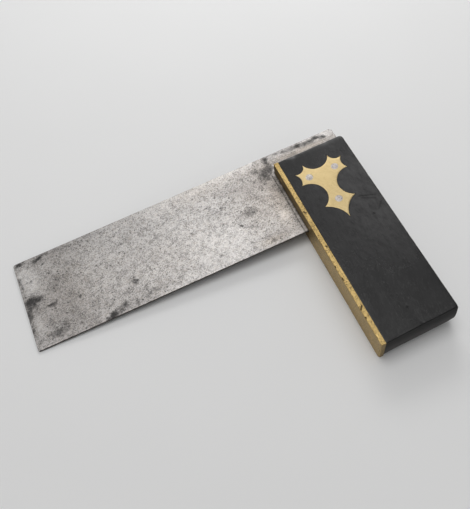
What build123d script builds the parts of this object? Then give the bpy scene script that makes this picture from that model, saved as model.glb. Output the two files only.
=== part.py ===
import os
from math import atan, degrees

from build123d import *

# Carpenter's try square: a dark hardwood stock faced with brass carries a steel blade at right angles.
# The blade sits in a slot sawn through the stock's head and stands a little past it. Three rivets hold
# it, and a cusped brass plate is let in flush on each side of the stock to back the rivet heads.
# The origin is the inside corner, where the blade's inner edge meets the brass face, on the blade's
# mid-plane. +X runs along the blade to its tip, +Y along the stock to its butt, +Z is up.

# Blade
blade_length = 152.4  # from the brass face to the tip
blade_thickness = 1.3
blade_overhang = 12.5  # how far the blade stands past the stock's head
blade_arris = 0.2
tip_corner_radius = 1.0
heel_corner_radius = 1.5

# Stock and its brass facing
stock_length = 117.0
stock_thickness = 17.6
wood_width = 39.2
facing_thickness = 2.5
housing_depth = 42.2  # how deep the blade is let into the stock's head
butt_skew = 1.5  # how much shorter the stock is along its outer edge
head_corner_radius = 2.0
butt_corner_radius = 1.0
wood_arris = 0.6
brass_arris = 0.3
slot_clearance = 0.05  # on each side of the blade, and past its inner edge

# Rivets through the blade
rivet_radius = 1.6
rivet_flare = 0.4  # how much wider the peened head is than the shank
rivet_flare_depth = 0.8
rivet_clearance = 0.03
upper_rivet_inset = 17.2  # from the stock's head
lower_rivet_reach = 5.8  # from the blade's inner edge
rivet_spacing = 15.2

# Cusped plate: each cusp stands across and along from the rivet that its lobe surrounds
plate_thickness = 1.6
crown_cusp_inset = 0.2  # towards the plate's middle
crown_cusp_along = 8.5
outer_cusp_across = 6.0
outer_cusp_along = 4.6
lower_cusp_across = 5.8
lower_cusp_along = 3.3
side_cusp_across = 8.7
side_cusp_along = 1.4
tail_cusp_along = 12.3
crown_scallop = 5.4  # depth of the hollow between two cusps
shoulder_scallop = 1.9
flank_scallop = 1.5
waist_scallop = 7.4
tail_scallop = 1.9

# Pins that hold the facing to the wood
pin_radius = 1.1
pin_flare = 0.4
pin_flare_depth = 0.8
pin_length = 13.0
pin_point = 1.5
pin_clearance = 0.03
pin_end_margin = 9.0
lower_pin_count = 3

# Sizes that follow from the ones above
stock_width = wood_width + facing_thickness
half_thickness = stock_thickness / 2
blade_width = housing_depth + blade_overhang
butt_reach = stock_length - housing_depth
upper_rivet_reach = housing_depth - upper_rivet_inset
slot_width = blade_thickness + 2 * slot_clearance
cheek_middle = (half_thickness + slot_width / 2) / 2
plate_axis = -stock_width / 2
rivet_places = {
    "rivet_inner": (plate_axis + rivet_spacing / 2, -upper_rivet_reach),
    "rivet_outer": (plate_axis - rivet_spacing / 2, -upper_rivet_reach),
    "rivet_lower": (plate_axis, -lower_rivet_reach),
}
first_pin = pin_end_margin
last_pin = butt_reach - pin_end_margin
pin_step = (last_pin - first_pin) / (lower_pin_count - 1)
pin_places = [(first_pin + pin_step * index, 0) for index in range(lower_pin_count)]
pin_places += [(pin_end_margin - housing_depth, side * cheek_middle) for side in (1, -1)]


def butt_end(x):
    # the butt is cut on a slight skew, longest at the brass face
    return butt_reach + butt_skew * x / stock_width


def stock_profile(left, right):
    # a slice of the stock's outline between two lines parallel to the brass face
    with BuildSketch(Plane.XY.offset(-half_thickness)) as profile:
        with BuildLine():
            Polyline(
                (left, -housing_depth),
                (right, -housing_depth),
                (right, butt_end(right)),
                (left, butt_end(left)),
                close=True,
            )
        make_face()
    return profile.sketch


def cut_blade_slot():
    # open at the head and at both edges, closed just past the blade's inner edge
    slot_length = housing_depth + slot_clearance
    with Locations((plate_axis, slot_clearance, 0)):
        Box(
            stock_width,
            slot_length,
            slot_width,
            align=(Align.CENTER, Align.MAX, Align.CENTER),
            mode=Mode.SUBTRACT,
        )


def pin_planes():
    # one plane for each pin, on the brass face and looking out of it
    return [Plane((0, along, up), x_dir=(0, 1, 0), z_dir=(1, 0, 0)) for along, up in pin_places]


os.makedirs("parts", exist_ok=True)

# Outline of the cusped plate, drawn from crown to tail on one side and mirrored
upper_x = rivet_spacing / 2
upper_y = -upper_rivet_reach
lower_y = -lower_rivet_reach
crown_cusp = (upper_x - crown_cusp_inset, upper_y - crown_cusp_along)
outer_cusp = (upper_x + outer_cusp_across, upper_y - outer_cusp_along)
lower_cusp = (upper_x + lower_cusp_across, upper_y + lower_cusp_along)
side_cusp = (side_cusp_across, lower_y + side_cusp_along)
tail_cusp = (0, lower_y + tail_cusp_along)
with BuildSketch() as plate_outline:
    with BuildLine():
        SagittaArc(crown_cusp, outer_cusp, shoulder_scallop)
        SagittaArc(outer_cusp, lower_cusp, flank_scallop)
        SagittaArc(lower_cusp, side_cusp, waist_scallop)
        SagittaArc(side_cusp, tail_cusp, tail_scallop)
        mirror(about=Plane.YZ)
        SagittaArc((-crown_cusp[0], crown_cusp[1]), crown_cusp, crown_scallop)
    make_face()

# Stock: one block of wood, slotted for the blade and recessed for the plates
with BuildPart() as stock:
    add(stock_profile(-stock_width, -facing_thickness))
    extrude(amount=stock_thickness)
    outer_corners = stock.edges().filter_by(Axis.Z).group_by(Axis.X)[0].sort_by(Axis.Y)
    fillet(outer_corners[0], head_corner_radius)
    fillet(outer_corners[-1], butt_corner_radius)
    broad_edges = stock.faces().filter_by(Axis.Z).edges()
    brass_side_edges = broad_edges.group_by(Axis.X)[-1]
    fillet(broad_edges - brass_side_edges, wood_arris)
    cut_blade_slot()
    for recess_floor in (half_thickness - plate_thickness, -half_thickness):
        with BuildSketch(Plane((plate_axis, 0, recess_floor))):
            add(plate_outline.sketch)
        extrude(amount=plate_thickness, mode=Mode.SUBTRACT)
    with Locations(*rivet_places.values()):
        Hole(rivet_radius + rivet_clearance)
    with Locations(*pin_planes()):
        Hole(pin_radius + pin_clearance, depth=pin_length + pin_clearance)
stock.part.label = "stock"
export_step(stock.part, "parts/stock.step")

# Brass facing: a strip as thick as the stock, forked by the blade's slot
with BuildPart() as brass_facing:
    add(stock_profile(-facing_thickness, 0))
    extrude(amount=stock_thickness)
    chamfer(brass_facing.faces().sort_by(Axis.X)[-1].edges(), brass_arris)
    cut_blade_slot()
    pin_flare_angle = 2 * degrees(atan(pin_flare / pin_flare_depth))
    with Locations(*pin_planes()):
        CounterSinkHole(
            pin_radius + pin_clearance,
            pin_radius + pin_flare + pin_clearance,
            depth=facing_thickness,
            counter_sink_angle=pin_flare_angle,
        )
brass_facing.part.label = "brass_facing"
export_step(brass_facing.part, "parts/brass_facing.step")

# Blade: a flat plate from the stock's outer edge to the tip
with BuildPart() as blade:
    with BuildSketch(Plane.XY.offset(-blade_thickness / 2)) as blade_outline:
        with BuildLine():
            Polyline(
                (-stock_width, 0),
                (-stock_width, -blade_width),
                (blade_length, -blade_width),
                (blade_length, 0),
                close=True,
            )
        make_face()
        tip_corners = blade_outline.vertices().group_by(Axis.X)[-1]
        fillet(tip_corners, tip_corner_radius)
        heel_corner = blade_outline.vertices().group_by(Axis.X)[0].sort_by(Axis.Y)[0]
        fillet(heel_corner, heel_corner_radius)
    extrude(amount=blade_thickness)
    chamfer(blade.faces().filter_by(Axis.Z).edges(), blade_arris)
    with Locations(*rivet_places.values()):
        Hole(rivet_radius + rivet_clearance)
blade.part.label = "blade"
export_step(blade.part, "parts/blade.step")

# Plates: the same cusped outline on both sides, countersunk from outside for the rivets
rivet_flare_angle = 2 * degrees(atan(rivet_flare / rivet_flare_depth))
for plate_name, side in (("front_plate", 1), ("back_plate", -1)):
    with BuildPart() as plate:
        with BuildSketch(Plane((plate_axis, 0, side * half_thickness))):
            add(plate_outline.sketch)
        extrude(amount=-side * plate_thickness)
        outer_planes = [
            Plane((x, y, side * half_thickness), z_dir=(0, 0, side)) for x, y in rivet_places.values()
        ]
        with Locations(*outer_planes):
            CounterSinkHole(
                rivet_radius + rivet_clearance,
                rivet_radius + rivet_flare + rivet_clearance,
                depth=plate_thickness,
                counter_sink_angle=rivet_flare_angle,
            )
    plate.part.label = plate_name
    export_step(plate.part, f"parts/{plate_name}.step")

# Rivets: a plain shank peened into the countersinks at both ends and filed flush
for rivet_name, (rivet_x, rivet_y) in rivet_places.items():
    with BuildPart() as rivet:
        with BuildSketch(Plane((rivet_x, rivet_y, 0), x_dir=(1, 0, 0), z_dir=(0, -1, 0))):
            with BuildLine():
                Polyline(
                    (0, -half_thickness),
                    (rivet_radius + rivet_flare, -half_thickness),
                    (rivet_radius, rivet_flare_depth - half_thickness),
                    (rivet_radius, half_thickness - rivet_flare_depth),
                    (rivet_radius + rivet_flare, half_thickness),
                    (0, half_thickness),
                    close=True,
                )
            make_face()
        revolve(axis=Axis((rivet_x, rivet_y, 0), (0, 0, 1)))
    rivet.part.label = rivet_name
    export_step(rivet.part, f"parts/{rivet_name}.step")

# Facing pins: flared head filed flush with the brass face, shank and point driven into the wood
for pin_number, (pin_along, pin_up) in enumerate(pin_places, start=1):
    with BuildPart() as pin:
        with BuildSketch(Plane((0, pin_along, pin_up), x_dir=(0, 1, 0), z_dir=(0, 0, 1))):
            with BuildLine():
                Polyline(
                    (0, 0),
                    (pin_radius + pin_flare, 0),
                    (pin_radius, pin_flare_depth),
                    (pin_radius, pin_length - pin_point),
                    (0, pin_length),
                    close=True,
                )
            make_face()
        revolve(axis=Axis((0, pin_along, pin_up), (1, 0, 0)))
    pin.part.label = f"facing_pin_{pin_number}"
    export_step(pin.part, f"parts/facing_pin_{pin_number}.step")
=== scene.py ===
import math

import bmesh
import bpy
import numpy as np
from mathutils import Matrix, Vector
from mathutils.geometry import delaunay_2d_cdt


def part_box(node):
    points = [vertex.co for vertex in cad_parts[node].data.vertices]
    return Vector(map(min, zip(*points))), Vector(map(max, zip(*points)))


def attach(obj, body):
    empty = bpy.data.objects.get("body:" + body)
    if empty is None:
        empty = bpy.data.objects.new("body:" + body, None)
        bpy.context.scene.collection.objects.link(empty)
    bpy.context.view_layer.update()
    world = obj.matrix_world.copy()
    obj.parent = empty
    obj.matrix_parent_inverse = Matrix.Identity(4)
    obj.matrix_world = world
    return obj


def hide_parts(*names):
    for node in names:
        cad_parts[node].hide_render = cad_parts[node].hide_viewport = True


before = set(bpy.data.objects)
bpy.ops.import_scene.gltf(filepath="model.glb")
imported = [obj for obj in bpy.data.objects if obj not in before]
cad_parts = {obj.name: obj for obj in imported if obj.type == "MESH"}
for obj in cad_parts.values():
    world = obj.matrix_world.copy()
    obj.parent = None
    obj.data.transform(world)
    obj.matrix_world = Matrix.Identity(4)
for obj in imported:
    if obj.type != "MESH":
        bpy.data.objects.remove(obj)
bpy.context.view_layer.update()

# Everything below is worked out in millimetres, in the frame of the solids, and put into metres at the end:
# the origin is the inside corner, +X runs to the blade's tip, +Y to the stock's butt, +Z is up.
mm = 0.001
scene = bpy.context.scene


def nodeBox(node):
    low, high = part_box(node)
    return np.array(low) / mm, np.array(high) / mm


def nodeMiddle(node):
    return sum(nodeBox(node)) / 2


stockLow, stockHigh = nodeBox("stock")
facingLow, facingHigh = nodeBox("brass_facing")
bladeLow, bladeHigh = nodeBox("blade")
halfStock = float(stockHigh[2])
halfBlade = float(bladeHigh[2])
plateAxis = float(stockLow[0] + facingHigh[0]) / 2

# How surfaces are divided
edgeAngles = {  # where the quarter round of an edge has its rows of points, in degrees
    "round": (0, 4, 14, 28, 45, 62, 76, 86, 90),
    "small": (0, 20, 45, 70, 90),
    "square": (0, 90),
}
arcPoints = 11  # round each corner of an outline
noGrid = 400.0  # wider than any piece, so that a cutter gets no points inside its rim
samePoint = 1e-6  # points of an outline nearer than this are one
weld = {"made": 1e-6, "thin": 1e-7, "finished": 5e-7}  # in metres, for whole meshes
sharpAngle = 32  # degrees


# ripple: nine plane sine waves with seeded directions, lengths and phases, added up to about -1 to 1
def ripple(x, y, wavelength, seed):
    waves = 9
    shortest, longest = 0.6, 1.7  # shares of the wavelength
    peak = 0.9 * math.sqrt(waves)
    draw = np.random.default_rng(seed)
    angle = draw.uniform(0, 2 * np.pi, waves)
    pitch = 2 * np.pi / (wavelength * draw.uniform(shortest, longest, waves))
    phase = draw.uniform(0, 2 * np.pi, waves)
    across = np.outer(x, np.cos(angle)) + np.outer(y, np.sin(angle))
    return np.sin(across * pitch + phase).sum(axis=1) / peak


# lowered: a ripple of the given height, lowered by that height, so that hardly any of it stands out
def lowered(x, y, height, pitch, seed):
    return height * ripple(x, y, pitch, seed) - height


# fade: 1 until the value comes within a span of the limit, then evenly down to 0 at the limit
def fade(value, limit, span):
    return np.clip((limit - value) / span, 0, 1)


def boxCorners(low, high):
    return [(low[0], low[1]), (high[0], low[1]), (high[0], high[1]), (low[0], high[1])]


# outlineLoop: walks a polygon anticlockwise. A corner with a radius is an arc tangent to both sides, a sharp
# corner is one point, and each side is cut into even steps. Gives the points, the vector by which the arris
# insets each point, and the arris itself. An arris wider than the corner's radius insets to one mitre point.
def outlineLoop(corners, radii, arrises, step):
    corners = np.array(corners, float)
    ahead = np.roll(corners, -1, axis=0) - corners
    sideLength = np.linalg.norm(ahead, axis=1)
    along = ahead / sideLength[:, None]
    outward = np.stack([along[:, 1], -along[:, 0]], axis=1)
    count = len(corners)
    turn = [math.acos(float(np.clip(along[i - 1] @ along[i], -1, 1))) for i in range(count)]
    tangent = [radii[i] * math.tan(turn[i] / 2) for i in range(count)]
    points, insets, drops = [], [], []
    for i in range(count):
        before = i - 1
        after = (i + 1) % count
        if radii[i] > 0:
            sweep = np.linspace(0, turn[i], arcPoints)[:, None]
            normal = outward[before] * np.cos(sweep) + along[before] * np.sin(sweep)
            middle = corners[i] - along[before] * tangent[i] - outward[before] * radii[i]
            arris = np.linspace(arrises[before], arrises[i], arcPoints)
            arc = middle + radii[i] * normal
            mitre = corners[i] - outward[before] * arrises[before] - outward[i] * arrises[i]
            points.append(arc)
            insets.append(normal * arris[:, None] if radii[i] > arris.max() else arc - mitre)
            drops.append(arris)
        else:
            points.append(corners[i][None])
            insets.append((outward[before] * arrises[before] + outward[i] * arrises[i])[None])
            drops.append(np.array([max(arrises[before], arrises[i])]))
        start = max(tangent[i], arrises[before])
        stop = sideLength[i] - max(tangent[after], arrises[after])
        pieces = max(2, int(round((stop - start) / step)))
        walk = start + (stop - start) * np.arange(1, pieces)[:, None] / pieces
        points.append(corners[i] + along[i] * walk)
        insets.append(np.repeat(outward[i][None] * arrises[i], pieces - 1, axis=0))
        drops.append(np.full(pieces - 1, arrises[i]))
    return np.concatenate(points), np.concatenate(insets), np.concatenate(drops)


# mitredLoop: for a closed line of points, insets each point along the mean of its two side normals,
# lengthened so that both sides move in by the same arris, which may differ from point to point
def mitredLoop(points, arris):
    sharpest = 0.3  # limits how far the inset of a sharp corner is lengthened
    arris = np.broadcast_to(arris, len(points))
    ahead = np.roll(points, -1, axis=0) - points
    along = ahead / np.linalg.norm(ahead, axis=1)[:, None]
    outward = np.stack([along[:, 1], -along[:, 0]], axis=1)
    mean = outward + np.roll(outward, 1, axis=0)
    mean /= np.linalg.norm(mean, axis=1)[:, None]
    spread = np.clip((mean * outward).sum(axis=1), sharpest, 1)
    return points, mean * (arris / spread)[:, None], arris


# fillSheet: the rim's points and a staggered grid of points inside it, joined into triangles
def fillSheet(rim, spacing):
    rowPitch, stagger, clearance = 0.9, 0.25, 0.6  # shares of the spacing
    rim = rim[np.linalg.norm(rim - np.roll(rim, 1, axis=0), axis=1) > samePoint]
    low, high = rim.min(axis=0), rim.max(axis=0)
    gridX = np.arange(low[0] + spacing / 2, high[0], spacing)
    gridY = np.arange(low[1] + spacing / 2, high[1], spacing * rowPitch)
    x, y = np.meshgrid(gridX, gridY)
    x = x + np.where(np.arange(len(gridY)) % 2, stagger, -stagger)[:, None] * spacing
    x, y = x.ravel(), y.ravel()
    # a grid point is inside where a line from it towards +X crosses the rim an odd number of times
    startX, startY = rim.T[:, :, None]
    endX, endY = np.roll(rim, -1, axis=0).T[:, :, None]
    crosses = (startY > y) != (endY > y)
    rise = np.where(endY == startY, 1.0, endY - startY)
    beyond = x < startX + (y - startY) * ((endX - startX) / rise)
    inside = (crosses & beyond).sum(axis=0) % 2 == 1
    clear = ((x - startX) ** 2 + (y - startY) ** 2).min(axis=0) > (clearance * spacing) ** 2
    flat = np.concatenate([rim, np.stack([x, y], axis=1)[inside & clear]])
    numbers = np.arange(len(rim))
    edges = np.stack([numbers, np.roll(numbers, -1)], axis=1)
    filled = delaunay_2d_cdt(list(map(Vector, flat.tolist())), edges.tolist(), [], 1, samePoint)
    points = np.array([vert[:] for vert in filled[0]])
    triangles = np.array(filled[2])
    a, b, c = (points[triangles[:, k]] for k in range(3))
    turned = (b - a)[:, 0] * (c - a)[:, 1] - (b - a)[:, 1] * (c - a)[:, 0] < 0
    triangles[turned] = triangles[turned][:, ::-1]
    return points, triangles


# ringQuads: the faces between neighbouring rows of points, each row a closed ring
def ringQuads(rows, columns):
    first = np.arange(rows - 1)[:, None] * columns
    corner = (first + np.arange(columns)).ravel()
    after = (first + (np.arange(columns) + 1) % columns).ravel()
    return np.stack([corner, after, after + columns, corner + columns], axis=1)


# sweptSolid: a profile carried round a closed outline. The profile goes up from the lower sheet's rim over a
# quarter round, up the wall and over a second quarter round to the upper sheet's rim.
def sweptSolid(loop, low, high, wallRows, spacing, edge="round"):
    points, insets, drops = loop
    phi = np.radians(edgeAngles[edge])
    moveIn, moveDown = 1 - np.cos(phi), 1 - np.sin(phi)
    wall = np.linspace(0, 1, wallRows + 2)[1:-1, None]
    rowIn = np.concatenate([moveIn[::-1], np.zeros(wallRows), moveIn])
    grid = np.empty((len(rowIn), len(points), 3))
    grid[:, :, :2] = points - rowIn[:, None, None] * insets
    grid[:, :, 2] = np.concatenate([
        low + drops * moveDown[::-1, None],
        (low + drops) * (1 - wall) + (high - drops) * wall,
        high - drops * moveDown[:, None],
    ])
    rows, columns = grid.shape[:2]
    sheet, triangles = fillSheet(grid[-1, :, :2], spacing)
    upper = np.column_stack([sheet, np.full(len(sheet), float(high))])
    lower = np.column_stack([sheet, np.full(len(sheet), float(low))])
    base = rows * columns
    faces = ringQuads(rows, columns).tolist() + (triangles + base).tolist()
    faces += (triangles[:, ::-1] + base + len(sheet)).tolist()
    return np.concatenate([grid.reshape(-1, 3), upper, lower]), faces


# turnedSolid: a profile of (radius, height) pairs carried round an axis through origin, along z or x; uneven
# is how far a ripple along the ring swells and narrows it
def turnedSolid(profile, origin, sides, axis="z", uneven=0.0, seed=0):
    ringScale, ringPitch = 2, 3.0  # size of the circle on which the ripple is read, and its wavelength
    radius, height = np.array(profile, float).T
    theta = np.linspace(0, 2 * np.pi, sides, endpoint=False)
    swell = ripple(np.cos(theta) * ringScale, np.sin(theta) * ringScale, ringPitch, seed)
    wobble = 1 + uneven * swell
    ringX = radius[:, None] * np.cos(theta) * wobble
    ringY = radius[:, None] * np.sin(theta) * wobble
    rise = np.repeat(height[:, None], sides, axis=1)
    turned = (ringX, ringY, rise) if axis == "z" else (rise, ringX, ringY)
    points = np.stack(turned, axis=-1).reshape(-1, 3) + np.array(origin, float)
    return points, ringQuads(len(radius), sides)


# turnedCutters: one piece that holds the same turned profile at each of several places
def turnedCutters(name, profile, places, sides, axis="z"):
    shells = [turnedSolid(profile, place, sides, axis) for place in places]
    points = np.concatenate([shell for shell, quads in shells])
    each = len(profile) * sides
    faces = np.concatenate([quads + number * each for number, (shell, quads) in enumerate(shells)])
    return makePiece(name, points, faces.tolist())


# carve: each mark pulls the points round it along its own vector, by a bell of their distance from its place
# measured in its three reaches
def carve(points, marks):
    for place, reach, pull in marks:
        distance = (((points - np.array(place)) / np.array(reach)) ** 2).sum(axis=1)
        points = points + np.exp(-distance)[:, None] * np.array(pull)
    return points


def makePiece(name, points, faces):
    mesh = bpy.data.meshes.new(name)
    mesh.from_pydata((points * mm).tolist(), [], faces)
    shell = bmesh.new()
    shell.from_mesh(mesh)
    bmesh.ops.remove_doubles(shell, verts=shell.verts, dist=weld["made"])
    bmesh.ops.dissolve_degenerate(shell, edges=shell.edges, dist=weld["thin"])
    shell.to_mesh(mesh)
    shell.free()
    piece = bpy.data.objects.new(name, mesh)
    scene.collection.objects.link(piece)
    return piece


# cutAway: takes the cutters out of a piece, then the cutters themselves go
def cutAway(piece, cutters):
    for cutter in cutters:
        cut = piece.modifiers.new("cut", "BOOLEAN")
        cut.operation = "DIFFERENCE"
        cut.solver = "EXACT"
        cut.object = cutter
    whole = piece.data
    depsgraph = bpy.context.evaluated_depsgraph_get()
    result = bpy.data.meshes.new_from_object(piece.evaluated_get(depsgraph))
    piece.modifiers.clear()
    piece.data = result
    result.name = piece.name
    bpy.data.meshes.remove(whole)
    for cutter in cutters:
        spare = cutter.data
        bpy.data.objects.remove(cutter)
        bpy.data.meshes.remove(spare)


def finishPiece(piece, slot, material, *nodes):
    mesh = piece.data
    shell = bmesh.new()
    shell.from_mesh(mesh)
    bmesh.ops.remove_doubles(shell, verts=shell.verts, dist=weld["finished"])
    openEdges = sum(1 for edge in shell.edges if len(edge.link_faces) != 2)
    shell.to_mesh(mesh)
    shell.free()
    mesh.shade_smooth()
    mesh.set_sharp_from_angle(angle=math.radians(sharpAngle))
    mesh.materials.clear()
    mesh.materials.append(material)
    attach(piece, "root")
    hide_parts(*nodes)
    mesh.calc_loop_triangles()
    print("made", piece.name, len(mesh.loop_triangles), "triangles,", openEdges, "open edges")


def pointsOf(piece):
    flat = np.empty(len(piece.data.vertices) * 3)
    piece.data.vertices.foreach_get("co", flat)
    return flat.reshape(-1, 3) / mm


def keepAttribute(piece, name, values):
    attribute = piece.data.attributes.new(name, "FLOAT", "POINT")
    attribute.data.foreach_set("value", np.asarray(values, np.float32))


# Node tools

def put(tree, kind, inputs=None, **settings):
    made = tree.nodes.new(kind)
    for name, value in settings.items():
        setattr(made, name, value)
    for key, value in (inputs or {}).items():
        if isinstance(value, bpy.types.NodeSocket):
            tree.links.new(value, made.inputs[key])
        else:
            made.inputs[key].default_value = value
    return made


def maths(tree, operation, *values, clamp=False):
    inputs = dict(enumerate(values))
    return put(tree, "ShaderNodeMath", inputs, operation=operation, use_clamp=clamp).outputs[0]


def times(tree, first, second, clamp=False):
    return maths(tree, "MULTIPLY", first, second, clamp=clamp)


def plus(tree, first, second):
    return maths(tree, "ADD", first, second)


def addShare(tree, value, share, total):
    return maths(tree, "MULTIPLY_ADD", value, share, total)


def larger(tree, first, second):
    return maths(tree, "MAXIMUM", first, second)


def vectors(tree, operation, first, second=(0, 0, 0), output=0):
    return put(tree, "ShaderNodeVectorMath", {0: first, 1: second}, operation=operation).outputs[output]


def mixValue(tree, factor, first, second):
    return put(tree, "ShaderNodeMix", {0: factor, 2: first, 3: second}).outputs[0]


def mixColour(tree, factor, first, second, blend="MIX"):
    made = put(tree, "ShaderNodeMix", {0: factor, 6: first, 7: second}, data_type="RGBA", blend_type=blend)
    return made.outputs[2]


def ramp(tree, value, low, high, start=0.0, end=1.0):
    inputs = {"Value": value, "From Min": low, "From Max": high, "To Min": start, "To Max": end}
    return put(tree, "ShaderNodeMapRange", inputs, interpolation_type="SMOOTHSTEP").outputs[0]


def cloud(tree, place, scale, detail, rough):
    inputs = {"Vector": place, "Scale": scale, "Detail": detail, "Roughness": rough}
    return put(tree, "ShaderNodeTexNoise", inputs).outputs[0]


# every group takes a place and gives one value; of its other inputs, those with three numbers are vectors
def startGroup(name, output, **inputs):
    tree = bpy.data.node_groups.new(name, "ShaderNodeTree")
    for label, value in {"Place": (0, 0, 0), **inputs}.items():
        kind = "NodeSocketVector" if isinstance(value, tuple) else "NodeSocketFloat"
        tree.interface.new_socket(label, in_out="INPUT", socket_type=kind).default_value = value
    tree.interface.new_socket(output, in_out="OUTPUT", socket_type="NodeSocketFloat")
    return tree, tree.nodes.new("NodeGroupInput").outputs, tree.nodes.new("NodeGroupOutput").inputs[0]


def useGroup(tree, group, place, **inputs):
    return put(tree, "ShaderNodeGroup", {"Place": place, **inputs}, node_tree=group).outputs[0]


# Node groups; each noise is given as its scale, detail and roughness

# blotches: cloudy spots of a given size in mm, where the noise passes the level that is left clean
def blotchGroup():
    tree, given, result = startGroup("blotches", "Mask", Size=1.0, Clean=0.55, Soft=0.1)
    detail, rough = 2.5, 0.6
    noise = cloud(tree, given["Place"], maths(tree, "DIVIDE", 1.0, given["Size"]), detail, rough)
    tree.links.new(ramp(tree, noise, given["Clean"], plus(tree, given["Clean"], given["Soft"])), result)
    return tree


# streaks: noise drawn out along one direction in the plane of the square, for grain and brushing
def streakGroup():
    tree, given, result = startGroup("streaks", "Value", Long=20.0, Wide=0.4, Turn=0.0)
    streakNoise = (1.0, 3.0, 0.55)
    turned = put(tree, "ShaderNodeVectorRotate", {"Vector": given["Place"], "Angle": given["Turn"]},
                 rotation_type="Z_AXIS").outputs[0]
    sizes = {0: given["Long"], 1: given["Wide"], 2: given["Wide"]}
    size = put(tree, "ShaderNodeCombineXYZ", sizes).outputs[0]
    tree.links.new(cloud(tree, vectors(tree, "DIVIDE", turned, size), *streakNoise), result)
    return tree


# scratch: nearness to a line from start to end, made ragged by fine noise
def scratchGroup():
    tree, given, result = startGroup("scratch", "Mask", Start=(0, 0, 0), End=(1, 0, 0), Width=0.3)
    rimNoise = (1.6, 3.0, 0.6)
    leastWidth = 0.1  # share of the width that the noise leaves everywhere
    fromStart = vectors(tree, "SUBTRACT", given["Place"], given["Start"])
    line = vectors(tree, "SUBTRACT", given["End"], given["Start"])
    share = maths(tree, "DIVIDE", vectors(tree, "DOT_PRODUCT", fromStart, line, 1),
                  vectors(tree, "DOT_PRODUCT", line, line, 1), clamp=True)
    foot = put(tree, "ShaderNodeVectorMath", {0: line, "Scale": share}, operation="SCALE").outputs[0]
    gap = vectors(tree, "DISTANCE", fromStart, foot, 1)
    ragged = plus(tree, cloud(tree, given["Place"], *rimNoise), leastWidth)
    tree.links.new(ramp(tree, gap, times(tree, ragged, given["Width"]), 0.0), result)
    return tree


# arrisWear: nearness to the edges of a box, made ragged by noise; the second smallest distance to its faces
def arrisGroup():
    tree, given, result = startGroup("arrisWear", "Mask", Middle=(0, 0, 0), Half=(1, 1, 1), Width=0.5)
    rimNoise = (0.8, 4.0, 0.65)
    noiseGain = 2.0  # the noise is about a half, so the width comes out as given
    fromMiddle = vectors(tree, "ABSOLUTE", vectors(tree, "SUBTRACT", given["Place"], given["Middle"]))
    toFaces = vectors(tree, "SUBTRACT", given["Half"], fromMiddle)
    depth = put(tree, "ShaderNodeSeparateXYZ", {0: toFaces}).outputs
    least = maths(tree, "MINIMUM", depth[0], depth[1])
    most = larger(tree, depth[0], depth[1])
    second = larger(tree, least, maths(tree, "MINIMUM", most, depth[2]))
    ragged = times(tree, cloud(tree, given["Place"], *rimNoise), given["Width"])
    tree.links.new(ramp(tree, second, times(tree, ragged, noiseGain), 0.0), result)
    return tree


# specks: round spots of uneven size scattered one to a cell; their rims are warped by noise
def speckGroup():
    tree, given, result = startGroup("specks", "Mask", Size=1.0, Reach=0.5)
    warpNoise = {"Vector": given["Place"], "Scale": 2.4, "Detail": 2.0}
    warpReach = (0.5, 0.5, 0.5)  # mm
    core = 0.4  # share of a speck's reach that is fully dark
    warp = put(tree, "ShaderNodeTexNoise", warpNoise).outputs["Color"]
    warping = {0: warp, 1: warpReach, 2: given["Place"]}
    bent = put(tree, "ShaderNodeVectorMath", warping, operation="MULTIPLY_ADD")
    scale = maths(tree, "DIVIDE", 1.0, given["Size"])
    cells = put(tree, "ShaderNodeTexVoronoi", {"Vector": bent.outputs[0], "Scale": scale}).outputs
    chance = put(tree, "ShaderNodeSeparateColor", {0: cells["Color"]}).outputs[0]
    reach = times(tree, given["Reach"], chance)
    tree.links.new(ramp(tree, cells["Distance"], reach, times(tree, reach, core)), result)
    return tree


blotches = blotchGroup()
specks = speckGroup()
streaks = streakGroup()
scratch = scratchGroup()
arrisWear = arrisGroup()


def startMaterial(name):
    material = bpy.data.materials.new(name)
    material.use_nodes = True
    tree = material.node_tree
    shader = tree.nodes["Principled BSDF"]
    coordinates = tree.nodes.new("ShaderNodeTexCoord").outputs["Object"]
    place = put(tree, "ShaderNodeVectorMath", {0: coordinates, "Scale": 1 / mm}, operation="SCALE").outputs[0]
    return material, tree, shader, place


def attributeOf(tree, name):
    return put(tree, "ShaderNodeAttribute", attribute_name=name).outputs["Fac"]


def scratchMarks(tree, place, rows):
    marks = None
    for start, end, width, depth in rows:
        mark = useGroup(tree, scratch, place, Start=start, End=end, Width=width)
        mark = times(tree, mark, depth, clamp=True)
        marks = mark if marks is None else larger(tree, marks, mark)
    return marks


def addBump(tree, shader, height, depth, strength):
    bump = put(tree, "ShaderNodeBump", {"Height": height, "Distance": depth * mm, "Strength": strength})
    tree.links.new(bump.outputs[0], shader.inputs["Normal"])


# Ebony

alongStock = math.pi / 2  # turns the streaks from x to y

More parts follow.
